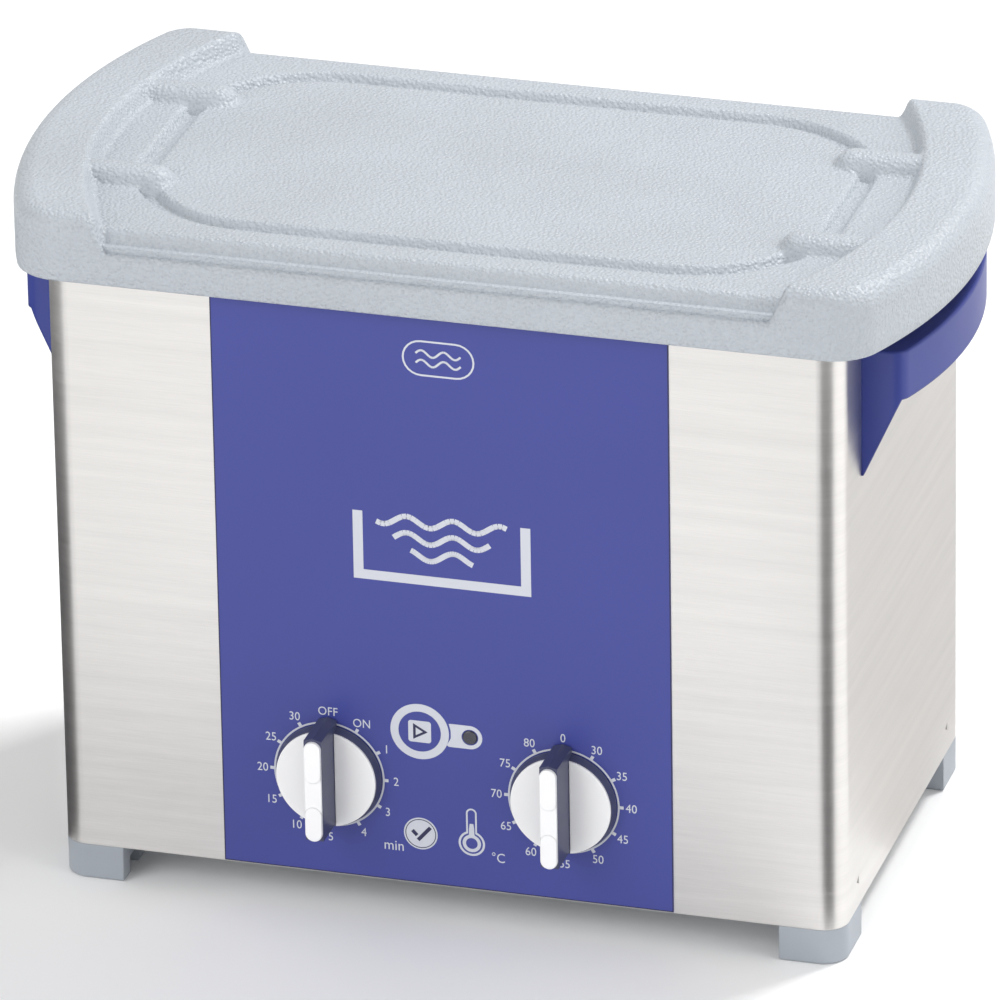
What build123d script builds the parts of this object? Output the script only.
from build123d import *
from math import hypot, sqrt
import os

os.makedirs("parts", exist_ok=True)

# Bench-top ultrasonic cleaner with a heated stainless tank, two dials and a loose lid.
# Millimetres.  +Z is up, Z = 0 is the surface it stands on, and the dials face -Y.
# X = Y = 0 is the centre of the whole outline seen from above, knobs and lid included.

# ---------------------------------------------------------------- driving sizes
housing_width = 255.0
housing_depth = 150.0
rim_height = 214.0          # standing surface to the top of the tank's rim
foot_height = 12.0
housing_radius = 8.0
housing_sheet = 1.0

tank_width = 240.0          # inside
tank_depth = 137.0          # inside, front to back
tank_drop = 100.0           # rim to the inside of the tank's floor
tank_sheet = 0.8
tank_corner_radius = 18.0
tank_floor_radius = 8.0
tank_fit = 0.4              # gap between the tank and the folded edge of the housing
flange_setback = 1.0        # the tank's flange stops this far inside the housing's faces

lid_overhang = 4.5          # past the housing, front and back
lid_end_overhang = 24.0     # past the housing at each end, on the centre line
lid_end_radius = 177.0
lid_corner_radius = 9.0
lid_wall = 2.3
lid_plate = 4.0
lid_lip_drop = 6.5          # lip below the tank's rim
lid_skirt = 9.0             # height of the thicker lower band
lid_skirt_step = 1.2
lid_crown = 10.2            # top plate above the tank's rim
lid_rim_rise = 5.6          # raised ends above the top plate
lid_rim_width = 23.5
lid_rim_fillet = 3.0
lid_rib_half_width = 7.0
lid_rib_rise = 4.0
lid_rib_length = 31.0
lid_rib_spacing = 66.0
lid_groove_width = 4.5
lid_groove_depth = 2.2
lid_groove_size = (226.0, 126.0, 45.0)      # length, width and corner radius of its outer edge
lid_edge = 2.0              # rounding of the top plate's edge
lid_rib_edge = 3.6
lid_rim_corner = 5.0        # where a raised end meets the lid's front and back
lid_play = 2.0              # locating lip to tank wall
lid_lip_depth = 4.0         # locating lip below the rim
lid_lip_wall = 2.0
lid_rest_overlap = 3.5      # how far the rest ring reaches over the tank's rim
lid_merge = 0.5             # how far added pieces run into the lid

handle_reach = 22.3
handle_bow_radius = 145.0
handle_half_depth = 51.0
handle_corner_radius = 5.0
handle_wall = 3.0
handle_edge = 0.8           # rounding of the handle's top edge
handle_top_below_rim = 13.9
handle_band = 16.1
handle_gusset_drop = 26.5
handle_gusset_foot = 12.5   # how far out the gusset's sloping edge reaches
handle_back_drop = 8.0
handle_screw_spacing = 60.0

dial_spacing = 76.2
dial_height = 46.7          # dial axes above the standing surface
knob_reach = 18.0
knob_gap = 0.8
knob_radius = 17.2
knob_skirt = 3.6            # front of the dark skirt, from the housing's face
knob_cap_inset = 1.0        # the cap's edge, inside the skirt's
knob_cap = 0.9
knob_bar_width = 5.8
knob_bar_up = 20.0
knob_bar_down = 15.2
knob_strip = 1.0
shaft_radius = 2.0
shaft_flat = 0.6
shaft_fit = 0.05
shaft_hole_gap = 1.0        # round the shaft, in the housing's sheet
control_screw_spacing = 24.0
control_size = 42.0
control_depth = 30.0

foil_width = 146.4
foil_thickness = 0.3
foil_bottom_gap = 0.4
foil_top_below_rim = 4.0
foil_dial_inset = 1.4       # the film's round hole, inside the skirt's edge
lamp_spot = (8.0, 65.0)     # X and Z of the indicator lamp
lamp_radius = 2.3

foot_size = (20.5, 23.0)
foot_screw_inset = 11.0

# Three sizes of screw: shank radius, head radius, head height, nut half width, nut height.
screw_fit = 0.1             # gap round a shank in the sheet that it passes through
thread_end = 1.5            # shank left showing past a nut
nut_fit = 0.05              # gap round a shank in its nut or in the plastic it bites
m4_shank = 2.0
m4_head = 3.8
m4_head_height = 2.4
m4_nut_half_width = 3.5
m4_nut_height = 3.2
m3_shank = 1.5
m3_head = 2.8
m3_head_height = 1.6
m3_nut_half_width = 2.75
m3_nut_height = 2.4

inlet_x = -78.0
inlet_z = 42.0

# ---------------------------------------------------------------- places worked out from them
body_y = (knob_reach - lid_overhang) / 2
front_y = body_y - housing_depth / 2
rear_y = body_y + housing_depth / 2
side_x = housing_width / 2
housing_top = rim_height - tank_sheet
base_top = foot_height + housing_sheet
tank_floor = rim_height - tank_drop
tank_under = tank_floor - tank_sheet
lid_lip = rim_height - lid_lip_drop
lid_shoulder = lid_lip + lid_skirt
lid_top = rim_height + lid_crown
lid_rim_top = lid_top + lid_rim_rise
lid_half_width = side_x + lid_end_overhang
lid_half_depth = housing_depth / 2 + lid_overhang
handle_top = rim_height - handle_top_below_rim
handle_band_bottom = handle_top - handle_band
knob_cap_radius = knob_radius - knob_cap_inset
foil_dial_radius = knob_radius - foil_dial_inset


def level(z):
    """Horizontal plane at height z, centred on the housing."""
    return Plane((0, body_y, z))


def front(x=0.0, z=0.0, out=0.0):
    """Plane parallel to the front face, seen from the front, a distance out from it."""
    return Plane((x, front_y - out, z), x_dir=(1, 0, 0), z_dir=(0, -1, 0))


def rear(x=0.0, z=0.0, out=0.0):
    """Plane parallel to the rear face, seen from behind, a distance out from it."""
    return Plane((x, rear_y + out, z), x_dir=(-1, 0, 0), z_dir=(0, 1, 0))


def write(piece, name):
    piece.part.label = name
    export_step(piece.part, f"parts/{name}.step")


# ---------------------------------------------------------------- housing
inlet_cut = (27.6, 20.6)
inlet_screw_spacing = 40.0
handle_screw_drop = 11.0
handle_screw_z = handle_top - handle_screw_drop
lance_size = 3.2
lance_inset = 19.0
lance_height = foot_height + 9.0

with BuildPart() as housing:
    with BuildSketch(level(foot_height)):
        RectangleRounded(housing_width, housing_depth, housing_radius)
    extrude(amount=housing_top - foot_height)
    fillet(housing.faces().sort_by(Axis.Z)[-1].edges(), radius=housing_sheet * 0.6)
    with BuildSketch(level(foot_height)):
        RectangleRounded(
            housing_width - 2 * housing_sheet,
            housing_depth - 2 * housing_sheet,
            housing_radius - housing_sheet,
        )
    extrude(amount=housing_top - foot_height - housing_sheet, mode=Mode.SUBTRACT)
    # The top is folded inwards and leaves a mouth for the tank.
    with BuildSketch(level(housing_top)):
        RectangleRounded(
            tank_width + 2 * (tank_sheet + tank_fit),
            tank_depth + 2 * (tank_sheet + tank_fit),
            tank_corner_radius + tank_sheet + tank_fit,
        )
    extrude(amount=-2 * housing_sheet, mode=Mode.SUBTRACT)
    # Holes in the front for the two shafts, their units' screws and the lamp.
    with BuildSketch(front()):
        for side in (-1, 1):
            with Locations((side * dial_spacing / 2, dial_height)):
                Circle(shaft_radius + shaft_hole_gap)
                with GridLocations(control_screw_spacing, 1, 2, 1):
                    Circle(m3_shank + screw_fit)
        with Locations(lamp_spot):
            Circle(lamp_radius + screw_fit)
    extrude(amount=-2 * housing_sheet, mode=Mode.SUBTRACT)
    # Cut-out and screw holes for the mains inlet at the back.
    with BuildSketch(rear(inlet_x, inlet_z)):
        Rectangle(*inlet_cut)
        with GridLocations(inlet_screw_spacing, 1, 2, 1):
            Circle(m3_shank + screw_fit)
    extrude(amount=-2 * housing_sheet, mode=Mode.SUBTRACT)
    # Handle screws, and the small pierced lances that lock the base tray, in both ends.
    with BuildSketch(Plane((-side_x - 1, body_y, 0), x_dir=(0, 1, 0), z_dir=(1, 0, 0))):
        with Locations((0, handle_screw_z)):
            with GridLocations(handle_screw_spacing, 1, 2, 1):
                Circle(m4_shank + screw_fit)
        for side in (-1, 1):
            with Locations((side * (housing_depth / 2 - lance_inset), lance_height)):
                RegularPolygon(lance_size / 2, 3, rotation=180)
    extrude(amount=housing_width + 2, mode=Mode.SUBTRACT)
write(housing, "housing")

# ---------------------------------------------------------------- tank
with BuildPart() as tank:
    with BuildSketch(level(tank_under)):
        RectangleRounded(
            tank_width + 2 * tank_sheet,
            tank_depth + 2 * tank_sheet,
            tank_corner_radius + tank_sheet,
        )
    extrude(amount=tank_drop + tank_sheet)
    fillet(tank.faces().sort_by(Axis.Z)[0].edges(), radius=tank_floor_radius + tank_sheet)
    offset(amount=-tank_sheet, openings=tank.faces().sort_by(Axis.Z)[-1])
    with BuildSketch(level(housing_top)):
        RectangleRounded(
            housing_width - 2 * flange_setback,
            housing_depth - 2 * flange_setback,
            housing_radius - flange_setback,
        )
        RectangleRounded(tank_width, tank_depth, tank_corner_radius, mode=Mode.SUBTRACT)
    extrude(amount=tank_sheet)
write(tank, "tank")

# ---------------------------------------------------------------- base tray and feet
tray_fit = 0.15
tray_wall_height = 12.5
vent_slot = (34.0, 4.0)
standoff_height = 8.0
board_size = (120.0, 74.0, 1.6)
board_x = 28.0
board_y = body_y + 14.0
board_hole_inset = 5.0
earth_spot = (-108.0, 30.0)

with BuildPart() as base_tray:
    with BuildSketch(level(foot_height)):
        RectangleRounded(
            housing_width - 2 * (housing_sheet + tray_fit),
            housing_depth - 2 * (housing_sheet + tray_fit),
            housing_radius - housing_sheet - tray_fit,
        )
    extrude(amount=tray_wall_height)
    with BuildSketch(level(base_top)):
        RectangleRounded(
            housing_width - 2 * (2 * housing_sheet + tray_fit),
            housing_depth - 2 * (2 * housing_sheet + tray_fit),
            housing_radius - 2 * housing_sheet - tray_fit,
        )
    extrude(amount=tray_wall_height, mode=Mode.SUBTRACT)
    with BuildSketch(level(foot_height)):
        with GridLocations(
            housing_width - 2 * foot_screw_inset, housing_depth - 2 * foot_screw_inset, 2, 2
        ):
            Circle(m4_shank + screw_fit)
        # Cooling slots in two rows, and one hole for the earth stud.
        with Locations((-40, -30), (40, -30), (-85, 20)):
            with GridLocations(1, 9, 1, 4):
                SlotOverall(*vent_slot)
        with Locations(earth_spot):
            Circle(m4_shank + screw_fit)
        with Locations((board_x, board_y - body_y)):
            with GridLocations(
                board_size[0] - 2 * board_hole_inset, board_size[1] - 2 * board_hole_inset, 2, 2
            ):
                Circle(m3_shank + screw_fit)
    extrude(amount=housing_sheet, mode=Mode.SUBTRACT)
write(base_tray, "base_tray")

foot_pocket_height = 6.0
foot_pocket_width = 9.0
foot_pocket_shift = 4.0     # towards the middle, from the screw
foot_inner_radius = 3.0
foot_edge = 0.8
for row, side_y in (("front", -1), ("rear", 1)):
    for column, side in (("left", -1), ("right", 1)):
        centre_x = side * (side_x - foot_size[0] / 2)
        centre_y = side_y * (housing_depth / 2 - foot_size[1] / 2)
        screw_x = side * (side_x - foot_screw_inset)
        screw_y = side_y * (housing_depth / 2 - foot_screw_inset)
        with BuildPart() as foot:
            with BuildSketch(level(0)) as foot_plan:
                with Locations((centre_x, centre_y)):
                    Rectangle(*foot_size)
                corners = foot_plan.vertices().sort_by(lambda v: hypot(v.X, v.Y))
                fillet(corners[-1], radius=housing_radius)
                fillet(corners[0], radius=foot_inner_radius)
            extrude(amount=foot_height)
            fillet(foot.faces().sort_by(Axis.Z)[0].edges(), radius=foot_edge)
            # A pocket under the foot, open towards the middle, takes the screw's head.
            with BuildSketch(level(0)):
                with Locations((screw_x - side * foot_pocket_shift, screw_y)):
                    Rectangle(foot_size[0] - foot_pocket_shift, foot_pocket_width)
            extrude(amount=foot_pocket_height, mode=Mode.SUBTRACT)
            with BuildSketch(level(0)):
                with Locations((screw_x, screw_y)):
                    Circle(m4_shank + screw_fit)
            extrude(amount=foot_height, mode=Mode.SUBTRACT)
        write(foot, f"foot_{row}_{column}")

foot_spots = GridLocations(
    housing_width - 2 * foot_screw_inset, housing_depth - 2 * foot_screw_inset, 2, 2
)
with BuildPart() as foot_screws:
    with BuildSketch(level(foot_pocket_height - m4_head_height)):
        with foot_spots:
            Circle(m4_head)
    extrude(amount=m4_head_height)
    with BuildSketch(level(foot_pocket_height)):
        with foot_spots:
            Circle(m4_shank)
    extrude(amount=base_top - foot_pocket_height + m4_nut_height + thread_end)
write(foot_screws, "foot_screws")

with BuildPart() as foot_nuts:
    with BuildSketch(level(base_top)):
        with foot_spots:
            RegularPolygon(m4_nut_half_width, 6, major_radius=False)
            Circle(m4_shank + nut_fit, mode=Mode.SUBTRACT)
    extrude(amount=m4_nut_height)
write(foot_nuts, "foot_nuts")

# ---------------------------------------------------------------- handles
bow_centre_x = side_x + handle_reach - handle_bow_radius


def handle_plan(inset, back):
    """Plan of a right-hand handle: flat against the housing, bowed outwards."""
    half_depth = handle_half_depth - inset
    radius = handle_bow_radius - inset
    corner_x = bow_centre_x + sqrt(radius**2 - half_depth**2)
    with BuildSketch() as plan:
        with BuildLine():
            Line((back, half_depth), (back, -half_depth))
            Line((back, -half_depth), (corner_x, -half_depth))
            ThreePointArc(
                (corner_x, -half_depth), (bow_centre_x + radius, 0), (corner_x, half_depth)
            )
            Line((corner_x, half_depth), (back, half_depth))
        make_face()
        fillet(
            plan.vertices().group_by(Axis.X)[-1],
            radius=max(handle_corner_radius - inset, 1.0),
        )
    return plan.sketch


handle_outer_plan = handle_plan(0, side_x)
handle_inner_plan = handle_plan(handle_wall, side_x + handle_wall)
gusset_tip = handle_band_bottom - handle_gusset_drop
handle_tip_width = 0.6
cut_reach = side_x + 2 * handle_reach

with BuildPart() as handle_right:
    with BuildSketch(level(gusset_tip)):
        add(handle_outer_plan)
    extrude(amount=handle_top - gusset_tip)
    fillet(
        handle_right.faces().sort_by(Axis.Z)[-1].edges().filter_by(Axis.Y, reverse=True),
        radius=handle_edge,
    )
    with BuildSketch(level(gusset_tip)):
        add(handle_inner_plan)
    extrude(amount=handle_top - gusset_tip - handle_wall, mode=Mode.SUBTRACT)
    # Below the band only the two end gussets and a short back plate are left.
    with BuildSketch(Plane((0, body_y, 0), x_dir=(1, 0, 0), z_dir=(0, -1, 0))):
        with BuildLine():
            Polyline(
                (side_x + handle_tip_width, gusset_tip - 1),
                (side_x + handle_tip_width, gusset_tip),
                (side_x + handle_gusset_foot, handle_band_bottom),
                (cut_reach, handle_band_bottom),
                (cut_reach, gusset_tip - 1),
                close=True,
            )
        make_face()
    extrude(amount=housing_depth, both=True, mode=Mode.SUBTRACT)
    with BuildSketch(level(gusset_tip - 1)):
        with Locations((side_x, 0)):
            Rectangle(4 * handle_wall, 2 * (handle_half_depth - handle_wall))
    extrude(amount=handle_band_bottom - handle_back_drop - gusset_tip + 1, mode=Mode.SUBTRACT)
    # Blind holes for the screws that come through the housing's end wall.
    with BuildSketch(Plane((side_x, body_y, 0), x_dir=(0, 1, 0), z_dir=(1, 0, 0))):
        with Locations((0, handle_screw_z)):
            with GridLocations(handle_screw_spacing, 1, 2, 1):
                Circle(m4_shank + nut_fit)
    extrude(amount=handle_wall, mode=Mode.SUBTRACT)
write(handle_right, "handle_right")

with BuildPart() as handle_left:
    mirror(handle_right.part, about=Plane.YZ)
write(handle_left, "handle_left")

with BuildPart() as handle_screws:
    for side in (-1, 1):
        inner_wall = side * (side_x - housing_sheet)
        plane = Plane((inner_wall, body_y, 0), x_dir=(0, side, 0), z_dir=(side, 0, 0))
        with BuildSketch(plane):
            with Locations((0, handle_screw_z)):
                with GridLocations(handle_screw_spacing, 1, 2, 1):
                    Circle(m4_head)
        extrude(amount=-m4_head_height)
        with BuildSketch(plane):
            with Locations((0, handle_screw_z)):
                with GridLocations(handle_screw_spacing, 1, 2, 1):
                    Circle(m4_shank)
        extrude(amount=housing_sheet + handle_wall)
write(handle_screws, "handle_screws")

# ---------------------------------------------------------------- lid
rim_inner_radius = lid_end_radius - lid_rim_width
end_centre_x = lid_half_width - lid_end_radius


def lid_plan(inset):
    """The lid's outline moved inwards by inset: straight front and back, bowed ends."""
    half_width = lid_half_width - inset
    half_depth = lid_half_depth - inset
    radius = lid_end_radius - inset
    corner = end_centre_x + sqrt(radius**2 - half_depth**2)
    with BuildSketch() as plan:
        with BuildLine():
            Line((-corner, -half_depth), (corner, -half_depth))
            ThreePointArc((corner, -half_depth), (half_width, 0), (corner, half_depth))
            Line((corner, half_depth), (-corner, half_depth))
            ThreePointArc((-corner, half_depth), (-half_width, 0), (-corner, -half_depth))
        make_face()
        fillet(plan.vertices(), radius=lid_corner_radius - inset)
    return plan.sketch


def rim_plan(inset, corner_radius):
    """The right-hand raised end: what the outline holds beyond an inner arc."""
    outline = lid_plan(inset)
    with BuildSketch() as plan:
        add(outline)
        with Locations((end_centre_x, 0)):
            Circle(rim_inner_radius + inset, mode=Mode.SUBTRACT)
        with Locations((-lid_half_width, 0)):
            Rectangle(2 * lid_half_width, 4 * lid_half_depth, mode=Mode.SUBTRACT)
        fillet(plan.vertices().group_by(Axis.X)[0], radius=corner_radius)
    return plan.sketch


def mouth_outline(grow, mode=Mode.ADD):
    """The tank's mouth grown outwards, drawn in the open sketch."""
    RectangleRounded(
        tank_width + 2 * grow, tank_depth + 2 * grow, tank_corner_radius + grow, mode=mode
    )


lid_outer_plan = lid_plan(0)
lid_upper_plan = lid_plan(lid_skirt_step)
lid_inner_plan = lid_plan(lid_wall)
lid_rim_wall = lid_wall + 0.6
rim_outer_plan = rim_plan(0, lid_rim_corner)
rim_inner_plan = rim_plan(lid_rim_wall, lid_rim_corner - lid_rim_wall)

with BuildPart() as raised_end:
    with BuildSketch(level(lid_shoulder - lid_merge)):
        add(rim_outer_plan)
    extrude(amount=lid_rim_top - lid_shoulder + lid_merge)
    fillet(raised_end.faces().sort_by(Axis.Z)[-1].edges(), radius=lid_rim_fillet)

# A rib is a bar with a round crown and a round inner end, sunk into the raised end.
rib_outer_x = end_centre_x + rim_inner_radius + 4 * lid_merge
rib_inner_x = end_centre_x + rim_inner_radius - lid_rib_length
with BuildPart() as ribs:
    with BuildSketch(level(lid_top - lid_merge)):
        for side_y in (-1, 1):
            with Locations((rib_inner_x + lid_rib_half_width, side_y * lid_rib_spacing / 2)):
                Circle(lid_rib_half_width)
            with Locations((
                (rib_inner_x + lid_rib_half_width + rib_outer_x) / 2,
                side_y * lid_rib_spacing / 2,
            )):
                Rectangle(
                    rib_outer_x - rib_inner_x - lid_rib_half_width, 2 * lid_rib_half_width
                )
    extrude(amount=lid_rib_rise + lid_merge)
    fillet(ribs.faces().filter_by(Axis.Z).group_by(Axis.Z)[-1].edges(), radius=lid_rib_edge)

with BuildPart() as lid:
    with BuildSketch(level(lid_lip)):
        add(lid_outer_plan)
    extrude(amount=lid_skirt)
    fillet(lid.faces().sort_by(Axis.Z)[-1].edges(), radius=lid_skirt_step * 0.8)
    with BuildSketch(level(lid_lip)):
        add(lid_upper_plan)
    extrude(amount=lid_top - lid_lip)
    fillet(lid.faces().sort_by(Axis.Z)[-1].edges(), radius=lid_edge)
    # The groove runs right round the top and passes under the ribs.
    groove_length, groove_depth, groove_radius = lid_groove_size
    with BuildSketch(level(lid_top)):
        RectangleRounded(groove_length, groove_depth, groove_radius)
        RectangleRounded(
            groove_length - 2 * lid_groove_width,
            groove_depth - 2 * lid_groove_width,
            groove_radius - lid_groove_width,
            mode=Mode.SUBTRACT,
        )
    extrude(amount=-lid_groove_depth, mode=Mode.SUBTRACT)
    add(raised_end.part)
    add(ribs.part)
    mirror(raised_end.part, about=Plane.YZ)
    mirror(ribs.part, about=Plane.YZ)
    # Hollow from below, deeper under the raised ends.
    with BuildSketch(level(lid_lip)):
        add(lid_inner_plan)
    extrude(amount=lid_top - lid_plate - lid_lip, mode=Mode.SUBTRACT)
    with BuildSketch(level(lid_top - lid_plate)):
        add(rim_inner_plan)
        mirror(rim_inner_plan, about=Plane.YZ)
    extrude(amount=lid_plate + lid_rim_rise - lid_rim_wall, mode=Mode.SUBTRACT)
    # One ring lands on the tank's rim, and a lip inside it finds the mouth of the tank.
    with BuildSketch(level(rim_height)):
        mouth_outline(lid_rest_overlap)
        mouth_outline(-lid_play - lid_lip_wall, Mode.SUBTRACT)
    extrude(amount=lid_crown - lid_plate + lid_merge)
    with BuildSketch(level(rim_height - lid_lip_depth)):
        mouth_outline(-lid_play)
        mouth_outline(-lid_play - lid_lip_wall, Mode.SUBTRACT)
    extrude(amount=lid_lip_depth + lid_merge)
write(lid, "lid")

# ---------------------------------------------------------------- front panel and plates
foil_bottom = foot_height + foil_bottom_gap
foil_top = rim_height - foil_top_below_rim
rating_size = (62.0, 40.0)
rating_spot = (40.0, 60.0)
rating_corner = 2.0

with BuildPart() as panel_foil:
    with BuildSketch(front()):
        with Locations((0, (foil_bottom + foil_top) / 2)):
            Rectangle(foil_width, foil_top - foil_bottom)
        with Locations((-dial_spacing / 2, dial_height), (dial_spacing / 2, dial_height)):
            Circle(foil_dial_radius, mode=Mode.SUBTRACT)
        with Locations(lamp_spot):
            Circle(lamp_radius + screw_fit, mode=Mode.SUBTRACT)
    extrude(amount=foil_thickness)
write(panel_foil, "panel_foil")

with BuildPart() as rating_plate:
    with BuildSketch(rear(*rating_spot)):
        RectangleRounded(*rating_size, rating_corner)
    extrude(amount=foil_thickness)
write(rating_plate, "rating_plate")

# The lamp's lens fills its hole, with a collar behind the sheet.
lens_reach = 0.4            # in front of the foil
lens_edge = 0.35
collar_width = 1.2
collar_depth = 6.0
with BuildPart() as indicator_lamp:
    with BuildSketch(front(0, 0, -housing_sheet)):
        with Locations(lamp_spot):
            Circle(lamp_radius)
    extrude(amount=housing_sheet + foil_thickness + lens_reach)
    fillet(indicator_lamp.faces().sort_by(Axis.Y)[0].edges(), radius=lens_edge)
    with BuildSketch(front(0, 0, -housing_sheet)):
        with Locations(lamp_spot):
            Circle(lamp_radius + collar_width)
    extrude(amount=-collar_depth)
write(indicator_lamp, "indicator_lamp")

# ---------------------------------------------------------------- dials and their units
knob_bore_depth = 9.0       # into the bar, past the skirt's front
knob_bore_end = knob_skirt + knob_bore_depth
knob_rim = 0.5              # straight edge left at the back of the skirt's slope
knob_tip = 0.8              # height of the pointed end of the bar
knob_boss_wall = 2.4
knob_face = 1.2             # thickness left in front of the hollow back
cap_fit = 0.05
cap_edge = 0.3
bar_front = knob_reach - knob_strip
strip_margin = 0.15
strip_width = knob_bar_width - 2 * strip_margin
strip_length = knob_bar_up + knob_bar_down - knob_tip - strip_margin
strip_middle = (knob_bar_up - knob_tip - knob_bar_down) / 2
pad_rise = 0.4
pad_width = strip_width - strip_margin
upper_pad_length = 14.0
lower_pad_length = 11.6
shaft_inside = 16.0
bore_end_gap = 0.2
terminal_size = (6.3, 0.8, 8.0)
terminal_inset = 5.0
control_corner = 3.0
control_screw_depth = 7.0
panel_head = (2.75, 1.3)    # radius and height of the flat screw heads under the knobs


def shaft_outline(radius):
    """A round shaft with one flat, drawn in the open sketch."""
    Circle(radius)
    with Locations((0, 2 * radius - shaft_flat)):
        Rectangle(2 * radius, 2 * radius, mode=Mode.SUBTRACT)


for dial, side in (("timer", -1), ("thermostat", 1)):
    x = side * dial_spacing / 2

    with BuildPart() as knob:
        with BuildSketch(front(x, dial_height, knob_gap)):
            Circle(knob_radius)
        extrude(amount=knob_skirt - knob_gap)
        chamfer(
            knob.faces().sort_by(Axis.Y)[0].edges(),
            length=knob_skirt - knob_gap - knob_rim,
            length2=knob_radius - knob_cap_radius - cap_edge,
        )
        # The grip bar runs right across and ends in the pointer.
        with BuildSketch(front(x, dial_height, knob_gap)):
            with BuildLine():
                Polyline(
                    (-knob_bar_width / 2, -knob_bar_down),
                    (knob_bar_width / 2, -knob_bar_down),
                    (knob_bar_width / 2, knob_bar_up - knob_tip),
                    (0, knob_bar_up),
                    (-knob_bar_width / 2, knob_bar_up - knob_tip),
                    close=True,
                )
            make_face()
        extrude(amount=bar_front - knob_gap)
        # Hollow back, leaving a boss around the shaft and room for the screw heads.
        with BuildSketch(front(x, dial_height, knob_gap)):
            Circle(foil_dial_radius)
            Circle(shaft_radius + knob_boss_wall, mode=Mode.SUBTRACT)
        extrude(amount=knob_skirt - knob_gap - knob_face, mode=Mode.SUBTRACT)
        with BuildSketch(front(x, dial_height)):
            shaft_outline(shaft_radius + shaft_fit)
        extrude(amount=knob_bore_end, mode=Mode.SUBTRACT)
    write(knob, f"{dial}_knob")

    # Two half-round silver cheeks, one on each side of the bar.
    with BuildPart() as cheeks:
        with BuildSketch(front(x, dial_height, knob_skirt)):
            Circle(knob_cap_radius)
            Rectangle(knob_bar_width + 2 * cap_fit, 3 * knob_cap_radius, mode=Mode.SUBTRACT)
        extrude(amount=knob_cap)
        fillet(cheeks.faces().filter_by(Axis.Y).group_by(Axis.Y)[0].edges(), radius=cap_edge)
    write(cheeks, f"{dial}_knob_cheeks")

    # White inlay along the bar, with a raised pad at each end.
    with BuildPart() as strip:
        with BuildSketch(front(x, dial_height, bar_front)):
            with Locations((0, strip_middle)):
                SlotOverall(strip_length, strip_width, rotation=90)
        extrude(amount=knob_strip - pad_rise)
        with BuildSketch(front(x, dial_height, knob_reach - pad_rise)):
            with Locations((0, strip_middle + (strip_length - upper_pad_length - strip_margin) / 2)):
                SlotOverall(upper_pad_length, pad_width, rotation=90)
            with Locations((0, strip_middle - (strip_length - lower_pad_length - strip_margin) / 2)):
                SlotOverall(lower_pad_length, pad_width, rotation=90)
        extrude(amount=pad_rise)
    write(strip, f"{dial}_knob_strip")

    with BuildPart() as shaft:
        with BuildSketch(front(x, dial_height, knob_bore_end - bore_end_gap)):
            shaft_outline(shaft_radius)
        extrude(amount=-(knob_bore_end - bore_end_gap - knob_gap))
        with BuildSketch(front(x, dial_height, knob_gap)):
            Circle(shaft_radius)
        extrude(amount=-(knob_gap + housing_sheet + shaft_inside))
    write(shaft, f"{dial}_shaft")

    # The unit behind the sheet: a case with a front bush that the shaft turns in.
    with BuildPart() as unit:
        with BuildSketch(front(x, dial_height, -housing_sheet)):
            RectangleRounded(control_size, control_size, control_corner)
        extrude(amount=-control_depth)
        with BuildSketch(front(x, dial_height, -housing_sheet - control_depth)):
            with GridLocations(control_size / 2, control_size - 2 * terminal_inset, 2, 2):
                Rectangle(terminal_size[0], terminal_size[1])
        extrude(amount=-terminal_size[2])
        with BuildSketch(front(x, dial_height, -housing_sheet)):
            Circle(shaft_radius + shaft_fit)
        extrude(amount=-(shaft_inside + bore_end_gap), mode=Mode.SUBTRACT)
        with BuildSketch(front(x, dial_height, -housing_sheet)):
            with GridLocations(control_screw_spacing, 1, 2, 1):
                Circle(m3_shank + nut_fit)
        extrude(amount=-(control_screw_depth + bore_end_gap), mode=Mode.SUBTRACT)
    write(unit, f"{dial}_unit")

with BuildPart() as control_screws:
    for side in (-1, 1):
        with BuildSketch(front(side * dial_spacing / 2, dial_height)):
            with GridLocations(control_screw_spacing, 1, 2, 1):
                Circle(panel_head[0])
        extrude(amount=panel_head[1])
        with BuildSketch(front(side * dial_spacing / 2, dial_height)):
            with GridLocations(control_screw_spacing, 1, 2, 1):
                Circle(m3_shank)
        extrude(amount=-(housing_sheet + control_screw_depth))
write(control_screws, "control_screws")

# The thermostat's capillary runs from its unit to a bulb under the tank's floor.
bulb_radius = 3.0
bulb_length = 60.0
capillary_radius = 0.9
capillary_bend = 5.0
bulb_gap = 0.3              # to the tank's floor
bulb_z = tank_under - bulb_radius - bulb_gap
bulb_y = body_y - 44.0
bulb_end_x = 60.0
unit_back_y = front_y + housing_sheet + control_depth

with BuildPart() as thermostat_bulb:
    with BuildSketch(Plane((bulb_end_x, bulb_y, bulb_z), x_dir=(0, 1, 0), z_dir=(1, 0, 0))):
        Circle(bulb_radius)
    extrude(amount=-bulb_length)
    with BuildLine() as capillary_path:
        FilletPolyline(
            (bulb_end_x - 1, bulb_y, bulb_z),
            (bulb_end_x + 12, bulb_y, bulb_z),
            (bulb_end_x + 12, unit_back_y + 20, dial_height),
            (dial_spacing / 2, unit_back_y + 20, dial_height),
            (dial_spacing / 2, unit_back_y, dial_height),
            radius=capillary_bend,
        )
    with BuildSketch(Plane((bulb_end_x - 1, bulb_y, bulb_z), z_dir=(1, 0, 0))):
        Circle(capillary_radius)
    sweep(path=capillary_path.wires()[0])
write(thermostat_bulb, "thermostat_bulb")

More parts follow.
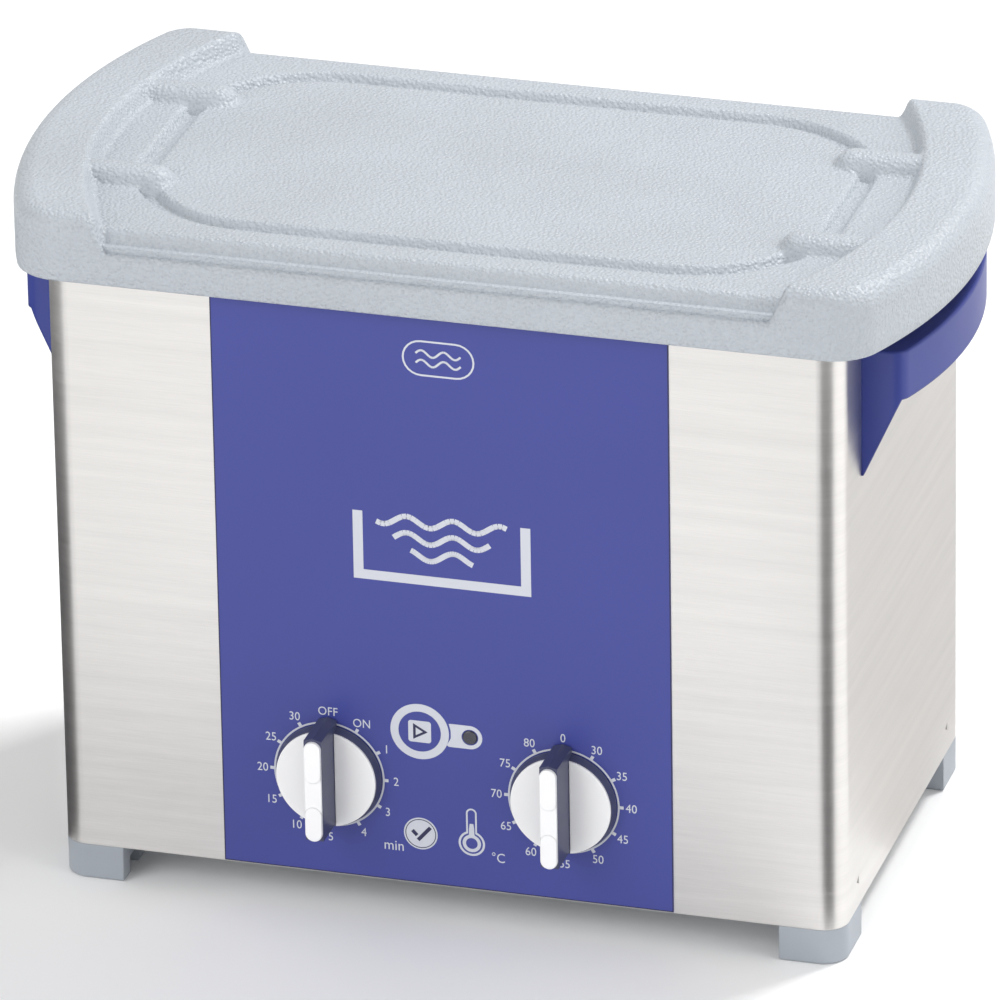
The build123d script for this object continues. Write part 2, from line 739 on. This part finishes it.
# ---------------------------------------------------------------- transducers and heaters
transducer_spacing = 120.0
horn_height = 20.0
horn_top_radius = 22.5
horn_foot_radius = 19.0
horn_rim_height = 6.0       # straight rim against the tank, and solid metal over the bolt
ring_height = 5.0
ring_hole_radius = 7.0
tab_height = 0.3
back_height = 20.0
bolt_radius = 5.0
bolt_head = (8.0, 7.0)      # radius and height
bolt_end_gap = 2.0
hex_socket = (4.6, 4.5)     # radius and depth
glue_line = 0.05
back_chamfer = 1.5
electrode_tab = (4.0, 7.0)  # width, and reach past the ring
stack_top = tank_under - glue_line
ring_top = stack_top - horn_height
stack_rings = 2 * ring_height + 2 * tab_height
back_bottom = ring_top - stack_rings - back_height

for side_name, side in (("left", -1), ("right", 1)):
    x = side * transducer_spacing / 2

    with BuildPart() as horn:
        with BuildSketch(Plane((x, body_y, stack_top))):
            Circle(horn_top_radius)
        extrude(amount=-horn_rim_height)
        with BuildSketch(Plane((x, body_y, stack_top - horn_rim_height))):
            Circle(horn_top_radius)
        with BuildSketch(Plane((x, body_y, ring_top))):
            Circle(horn_foot_radius)
        loft()
        with BuildSketch(Plane((x, body_y, ring_top))):
            Circle(bolt_radius + nut_fit)
        extrude(amount=horn_height - horn_rim_height, mode=Mode.SUBTRACT)
    write(horn, f"transducer_horn_{side_name}")

    with BuildPart() as rings:
        for index in range(2):
            ring_base = ring_top - (index + 1) * (ring_height + tab_height) + tab_height
            with BuildSketch(Plane((x, body_y, ring_base))):
                Circle(horn_foot_radius)
                Circle(ring_hole_radius, mode=Mode.SUBTRACT)
            extrude(amount=ring_height)
    write(rings, f"ceramic_rings_{side_name}")

    with BuildPart() as tabs:
        for index in range(2):
            tab_base = ring_top - (index + 1) * (ring_height + tab_height)
            with BuildSketch(Plane((x, body_y, tab_base))):
                Circle(horn_foot_radius)
                with Locations((0, horn_foot_radius)):
                    Rectangle(electrode_tab[0], 2 * electrode_tab[1])
                Circle(ring_hole_radius, mode=Mode.SUBTRACT)
            extrude(amount=tab_height)
    write(tabs, f"electrode_tabs_{side_name}")

    with BuildPart() as back_mass:
        with BuildSketch(Plane((x, body_y, back_bottom))):
            Circle(horn_foot_radius)
            Circle(bolt_radius + nut_fit, mode=Mode.SUBTRACT)
        extrude(amount=back_height)
        chamfer(back_mass.faces().sort_by(Axis.Z)[0].outer_wire().edges(), length=back_chamfer)
    write(back_mass, f"back_mass_{side_name}")

with BuildPart() as transducer_bolts:
    for side in (-1, 1):
        x = side * transducer_spacing / 2
        with BuildSketch(Plane((x, body_y, back_bottom))):
            Circle(bolt_head[0])
        extrude(amount=-bolt_head[1])
        with BuildSketch(Plane((x, body_y, back_bottom - bolt_head[1]))):
            RegularPolygon(hex_socket[0], 6)
        extrude(amount=hex_socket[1], mode=Mode.SUBTRACT)
        with BuildSketch(Plane((x, body_y, back_bottom))):
            Circle(bolt_radius)
        extrude(amount=back_height + stack_rings + horn_height - horn_rim_height - bolt_end_gap)
write(transducer_bolts, "transducer_bolts")

heater_size = (190.0, 56.0, 1.4)
heater_corner = 4.0
heater_above_floor = 12.0
heater_z = tank_floor + heater_above_floor + heater_size[1] / 2
for row, side_y in (("front", -1), ("rear", 1)):
    wall_y = body_y + side_y * (tank_depth / 2 + tank_sheet)
    with BuildPart() as heater:
        with BuildSketch(Plane((0, wall_y, heater_z), x_dir=(1, 0, 0), z_dir=(0, side_y, 0))):
            RectangleRounded(heater_size[0], heater_size[1], heater_corner)
        extrude(amount=heater_size[2])
    write(heater, f"heater_pad_{row}")

# ---------------------------------------------------------------- generator board
board_bottom = base_top + standoff_height
board_corner = 2.0
standoff_half_width = 3.0
standoff_end_gap = 1.0      # the screws stop this far above the tray
board_top = board_bottom + board_size[2]
board_spots = GridLocations(
    board_size[0] - 2 * board_hole_inset, board_size[1] - 2 * board_hole_inset, 2, 2
)


def board_level(z):
    """Horizontal plane centred on the board."""
    return Plane((board_x, board_y, z))


with BuildPart() as generator_board:
    with BuildSketch(board_level(board_bottom)):
        RectangleRounded(board_size[0], board_size[1], board_corner)
        with board_spots:
            Circle(m3_shank + screw_fit, mode=Mode.SUBTRACT)
    extrude(amount=board_size[2])
write(generator_board, "generator_board")

with BuildPart() as board_standoffs:
    with BuildSketch(board_level(base_top)):
        with board_spots:
            RegularPolygon(standoff_half_width, 6, major_radius=False)
            Circle(m3_shank + nut_fit, mode=Mode.SUBTRACT)
    extrude(amount=standoff_height)
write(board_standoffs, "board_standoffs")

with BuildPart() as board_screws:
    with BuildSketch(board_level(board_top)):
        with board_spots:
            Circle(m3_head)
    extrude(amount=m3_head_height)
    with BuildSketch(board_level(board_top)):
        with board_spots:
            Circle(m3_shank)
    extrude(amount=-(board_size[2] + standoff_height - standoff_end_gap))
write(board_screws, "board_screws")

sink_size = (70.0, 20.0, 26.0)
sink_y = 22.0
sink_web = 4.0
fin_count = 7
fin_thickness = 1.6
with BuildPart() as heat_sink:
    with BuildSketch(board_level(board_top)):
        with Locations((0, sink_y)):
            Rectangle(sink_size[0], sink_web)
            with Locations((0, (sink_size[1] - sink_web) / 2)):
                with GridLocations(sink_size[0] / fin_count, 1, fin_count, 1):
                    Rectangle(fin_thickness, sink_size[1] - sink_web)
    extrude(amount=sink_size[2])
write(heat_sink, "heat_sink")

transistor_size = (10.0, 4.6, 16.0)
transistor_spacing = 36.0
lead_length = 6.0
lead_pitch = 2.54
lead_section = (0.8, 0.5)
transistor_y = sink_y - sink_web / 2 - transistor_size[1] / 2 - glue_line
with BuildPart() as power_transistors:
    for side in (-1, 1):
        spot = (side * transistor_spacing / 2, transistor_y)
        with BuildSketch(board_level(board_top + lead_length)):
            with Locations(spot):
                Rectangle(transistor_size[0], transistor_size[1])
        extrude(amount=transistor_size[2])
        with BuildSketch(board_level(board_top)):
            with Locations(spot):
                with GridLocations(lead_pitch, 1, 3, 1):
                    Rectangle(*lead_section)
        extrude(amount=lead_length)
write(power_transistors, "power_transistors")

core_size = (34.0, 30.0, 22.0)
core_spot = (-26.0, -14.0)
core_corner = 1.0
bobbin_size = (20.0, 36.0, 14.0)
with BuildPart() as output_transformer:
    with BuildSketch(board_level(board_top)):
        with Locations(core_spot):
            RectangleRounded(core_size[0], core_size[1], core_corner)
    extrude(amount=core_size[2])
    with BuildSketch(board_level(board_top + (core_size[2] - bobbin_size[2]) / 2)):
        with Locations(core_spot):
            Rectangle(bobbin_size[0], bobbin_size[1])
    extrude(amount=bobbin_size[2])
write(output_transformer, "output_transformer")

capacitor_size = (9.0, 24.0)        # radius and height
capacitor_spots = ((12.0, -14.0), (36.0, -14.0))
with BuildPart() as filter_capacitors:
    with BuildSketch(board_level(board_top)):
        with Locations(*capacitor_spots):
            Circle(capacitor_size[0])
    extrude(amount=capacitor_size[1])
    fillet(filter_capacitors.faces().filter_by(Axis.Z).group_by(Axis.Z)[-1].edges(), radius=1.0)
write(filter_capacitors, "filter_capacitors")

# ---------------------------------------------------------------- mains inlet
inlet_flange = (50.0, 23.0, 2.5)
inlet_body_depth = 24.0
inlet_recess = (24.4, 16.4, 17.0)
inlet_fit = 0.2
inlet_corner = 3.0
inlet_recess_chamfer = 5.0
blade_pitch = 7.0
blade_rise = 2.0
blade_spots = ((-blade_pitch, blade_rise), (blade_pitch, blade_rise), (0.0, -blade_rise))
blade = (2.0, 4.0)
blade_setback = 3.0         # blade tips below the socket's mouth
blade_tail = 8.0            # terminals behind the socket

with BuildPart() as mains_inlet:
    with BuildSketch(rear(inlet_x, inlet_z)):
        RectangleRounded(inlet_flange[0], inlet_flange[1], inlet_corner)
        with GridLocations(inlet_screw_spacing, 1, 2, 1):
            Circle(m3_shank + screw_fit, mode=Mode.SUBTRACT)
    extrude(amount=inlet_flange[2])
    with BuildSketch(rear(inlet_x, inlet_z)):
        Rectangle(inlet_cut[0] - 2 * inlet_fit, inlet_cut[1] - 2 * inlet_fit)
    extrude(amount=-inlet_body_depth)
    with BuildSketch(rear(inlet_x, inlet_z, inlet_flange[2])) as recess:
        Rectangle(inlet_recess[0], inlet_recess[1])
        chamfer(recess.vertices().group_by(Axis.Y)[-1], length=inlet_recess_chamfer)
    extrude(amount=-inlet_recess[2], mode=Mode.SUBTRACT)
    with BuildSketch(rear(inlet_x, inlet_z, inlet_flange[2] - inlet_recess[2])):
        with Locations(*blade_spots):
            Rectangle(*blade)
    extrude(amount=-inlet_body_depth, mode=Mode.SUBTRACT)
write(mains_inlet, "mains_inlet")

with BuildPart() as inlet_blades:
    with BuildSketch(rear(inlet_x, inlet_z, inlet_flange[2] - blade_setback)):
        with Locations(*blade_spots):
            Rectangle(*blade)
    extrude(amount=-(inlet_body_depth + inlet_flange[2] - blade_setback + blade_tail))
write(inlet_blades, "inlet_blades")

with BuildPart() as inlet_screws:
    with BuildSketch(rear(inlet_x, inlet_z, inlet_flange[2])):
        with GridLocations(inlet_screw_spacing, 1, 2, 1):
            Circle(m3_head)
    extrude(amount=m3_head_height)
    with BuildSketch(rear(inlet_x, inlet_z, inlet_flange[2])):
        with GridLocations(inlet_screw_spacing, 1, 2, 1):
            Circle(m3_shank)
    extrude(amount=-(inlet_flange[2] + housing_sheet + m3_nut_height + thread_end))
write(inlet_screws, "inlet_screws")

with BuildPart() as inlet_nuts:
    with BuildSketch(rear(inlet_x, inlet_z, -housing_sheet)):
        with GridLocations(inlet_screw_spacing, 1, 2, 1):
            RegularPolygon(m3_nut_half_width, 6, major_radius=False)
            Circle(m3_shank + nut_fit, mode=Mode.SUBTRACT)
    extrude(amount=-m3_nut_height)
write(inlet_nuts, "inlet_nuts")

# Earth stud on the tray, with its nut.
earth_length = 13.0
with BuildPart() as earth_stud:
    with BuildSketch(level(foot_height - m4_head_height)):
        with Locations(earth_spot):
            Circle(m4_head)
    extrude(amount=m4_head_height)
    with BuildSketch(level(foot_height)):
        with Locations(earth_spot):
            Circle(m4_shank)
    extrude(amount=earth_length)
write(earth_stud, "earth_stud")

with BuildPart() as earth_nut:
    with BuildSketch(level(base_top)):
        with Locations(earth_spot):
            RegularPolygon(m4_nut_half_width, 6, major_radius=False)
            Circle(m4_shank + nut_fit, mode=Mode.SUBTRACT)
    extrude(amount=m4_nut_height)
write(earth_nut, "earth_nut")

# ---------------------------------------------------------------- wiring
wire_radius = 1.1
wire_bend = 5.0
wire_gap = 1.0              # a wire's core, left out here, bridges this to its terminal
blade_end_y = rear_y - inlet_body_depth - blade_tail
tab_end_y = body_y + horn_foot_radius + electrode_tab[1]
board_left = board_x - board_size[0] / 2
board_right = board_x + board_size[0] / 2
upper_tab_z = ring_top - ring_height - tab_height
# Each route is a start, two points that it passes, and an end.
wire_routes = (
    (
        (inlet_x + blade_pitch, blade_end_y - wire_gap, inlet_z + blade_rise),
        (inlet_x + 16.0, blade_end_y - 14.0, inlet_z + 4.0),
        (board_left + 2.0, board_y + 24.0, board_top + 18.0),
        (board_left + 8.0, board_y + 18.0, board_top + wire_gap),
    ),
    (
        (inlet_x - blade_pitch, blade_end_y - wire_gap, inlet_z + blade_rise),
        (inlet_x - 4.0, blade_end_y - 22.0, inlet_z + 6.0),
        (board_left - 8.0, board_y - 6.0, board_top + 18.0),
        (board_left + 4.0, board_y - 2.0, board_top + wire_gap),
    ),
    (
        (inlet_x, blade_end_y - wire_gap, inlet_z - blade_rise),
        (inlet_x - 8.0, blade_end_y - 10.0, inlet_z - 4.0),
        (earth_spot[0] + 4.0, body_y + earth_spot[1] + 2.0, base_top + 22.0),
        (earth_spot[0], body_y + earth_spot[1], foot_height + earth_length + wire_gap),
    ),
    (
        (-transducer_spacing / 2, tab_end_y + wire_gap, upper_tab_z),
        (-transducer_spacing / 2 + 4.0, tab_end_y + 12.0, upper_tab_z - 12.0),
        (board_left + 7.0, board_y + 14.0, board_top + 24.0),
        (board_left + 5.0, board_y + 8.0, board_top + wire_gap),
    ),
    (
        (transducer_spacing / 2, tab_end_y + wire_gap, upper_tab_z),
        (transducer_spacing / 2 + 10.0, tab_end_y + 12.0, upper_tab_z - 14.0),
        (board_right - 6.0, board_y + 10.0, board_top + 30.0),
        (board_right - 8.0, board_y + 4.0, board_top + wire_gap),
    ),
)

with BuildPart() as wiring:
    for start, first, second, end in wire_routes:
        with BuildLine() as route:
            FilletPolyline(start, first, second, end, radius=wire_bend)
        path = route.wires()[0]
        with BuildSketch(Plane(start, z_dir=path % 0)):
            Circle(wire_radius)
        sweep(path=path)
write(wiring, "wiring")
